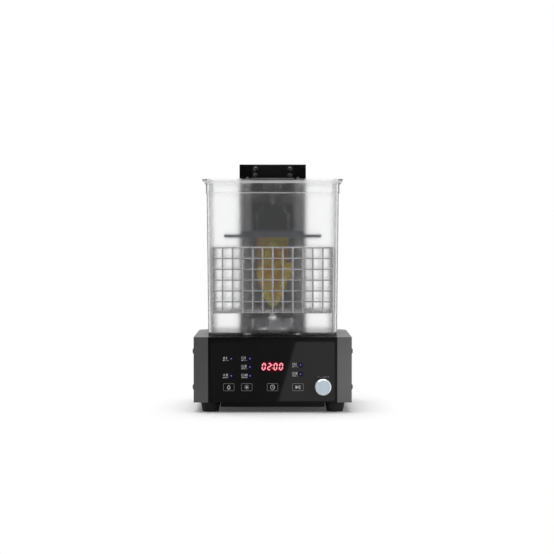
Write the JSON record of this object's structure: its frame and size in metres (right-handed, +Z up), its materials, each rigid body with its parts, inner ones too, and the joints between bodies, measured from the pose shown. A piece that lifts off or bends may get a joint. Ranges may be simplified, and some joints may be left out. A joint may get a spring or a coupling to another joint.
{
  "type": "dental resin print wash and light curing unit",
  "caption": "Bench unit for resin dental prints: a low base with a touch panel and knob, a frosted wash tank with a wire basket and stirrer, and a black column with lamp strips and a hanging build plate",
  "frame": {"origin": "on the table, midway between the two sides and midway between the front of the knob and the rear of the power inlet", "axes": "+Z up, -Y towards the user, at the front panel, and +X to the user's right"},
  "size_m": [0.2286, 0.25, 0.36],
  "materials": {
    "cheek_paint": "warm grey powder coat with a fine texture",
    "black_paint": "black satin powder coat with a fine texture",
    "black_plastic": "matt black moulded plastic",
    "black_screw": "black oxide on steel",
    "zinc": "zinc plated steel",
    "foot_rubber": "matt black rubber",
    "black_glass": "polished black panel glass",
    "board": "green solder mask",
    "display_red": "dark red lens with red digits",
    "spring_steel": "ground steel",
    "motor_case": "zinc plated can",
    "brass": "turned brass",
    "knob_white": "pale silver moulding with a polished ring",
    "rotor_grey": "grey moulded nylon",
    "magnet": "nickel plated magnet",
    "lens_clear": "milky clear polycarbonate",
    "aluminium": "extruded aluminium",
    "frosted_plastic": "frosted translucent moulding",
    "stirrer_smoke": "dark moulded plastic",
    "bright_steel": "polished stainless steel",
    "wire_steel": "electropolished stainless wire",
    "carrier_paint": "dark satin coat on bent steel",
    "clamp_plastic": "matt black moulding",
    "platform_metal": "dark anodised aluminium",
    "cured_resin": "golden yellow cured resin, slightly glossy"
  },
  "bodies": {
    "base": {"side_cheek_left": "cheek_paint", "side_cheek_right": "cheek_paint", "cheek_screws": "black_screw", "chassis": "black_paint", "deck": "black_paint", "deck_screws": "black_screw", "base_pan": "black_paint", "pan_screws": "zinc", "feet": "foot_rubber", "foot_screws": "zinc", "panel_frame": "black_plastic", "front_glass": "black_glass", "control_board": "board", "display_module": "display_red", "touch_springs": "spring_steel", "encoder_body": "black_plastic", "motor_bracket": "black_plastic", "motor": "motor_case", "motor_screws": "zinc", "power_board": "board", "dc_jack": "black_plastic", "jack_nut": "zinc", "fan_frame": "black_plastic", "column_housing": "black_paint", "column_rear_cover": "black_paint", "column_cap": "black_paint", "column_screws": "black_screw", "lamp_lens_left": "lens_clear", "lamp_lens_right": "lens_clear", "lamp_strip_left": "board", "lamp_strip_right": "board", "lamp_heatsinks": "aluminium"},
    "drive": {"motor_shaft": "spring_steel", "drive_rotor": "rotor_grey", "drive_magnets": "magnet"},
    "fan": {"fan_rotor": "black_plastic"},
    "plunger": {"push_sleeve": "brass"},
    "knob": {"encoder_shaft": "brass", "control_knob": "knob_white"},
    "tank": {"wash_tank": "frosted_plastic", "pivot_pin": "spring_steel"},
    "stirrer": {"stirrer": "stirrer_smoke", "stirrer_bush": "bright_steel", "stirrer_magnets": "magnet"},
    "basket": {"basket_posts": "wire_steel", "basket_front": "wire_steel", "basket_back": "wire_steel", "basket_left": "wire_steel", "basket_right": "wire_steel", "basket_floor": "wire_steel"},
    "carrier": {"carrier_tongue": "carrier_paint", "carrier_bracket": "carrier_paint", "carrier_screws": "black_screw", "lock_nut": "bright_steel", "platform_head": "platform_metal", "levelling_screws": "bright_steel", "build_plate": "platform_metal", "resin_print": "cured_resin"},
    "clamp": {"clamp_knob": "clamp_plastic", "hanger_screw": "bright_steel"}
  },
  "joints": [
    {"name": "tank_lift", "type": "slide", "parent": "base", "child": "tank", "axis": [0, 0, 1], "range_m": [0, 0.255]},
    {"name": "basket_lift", "type": "slide", "parent": "tank", "child": "basket", "axis": [0, 0, 1], "range_m": [0, 0.23]},
    {"name": "carrier_lift", "type": "slide", "parent": "basket", "child": "carrier", "axis": [0, 0, 1], "range_m": [0, 0.2]},
    {"name": "clamp_turn", "type": "hinge", "parent": "carrier", "child": "clamp", "pos_m": [0, -0.003, 0.32], "axis": [0, 0, 1], "continuous": true},
    {"name": "drive_spin", "type": "hinge", "parent": "base", "child": "drive", "pos_m": [0, -0.003, 0.09], "axis": [0, 0, 1], "continuous": true},
    {"name": "stirrer_spin", "type": "hinge", "parent": "tank", "child": "stirrer", "pos_m": [0, -0.003, 0.12], "axis": [0, 0, 1], "continuous": true},
    {"name": "knob_press", "type": "slide", "parent": "base", "child": "plunger", "axis": [0, 1, 0], "range_m": [0, 0.0012], "stiffness_N_per_m": 2000, "springref_m": -0.0005},
    {"name": "knob_turn", "type": "hinge", "parent": "plunger", "child": "knob", "pos_m": [0.0715, -0.119, 0.037], "axis": [0, 1, 0], "continuous": true},
    {"name": "fan_spin", "type": "hinge", "parent": "base", "child": "fan", "pos_m": [-0.05, 0.1148, 0.0445], "axis": [0, 1, 0], "continuous": true}
  ],
  "couplings": [
    {"joint": "stirrer_spin", "follows": "drive_spin", "ratio": 1}
  ]
}
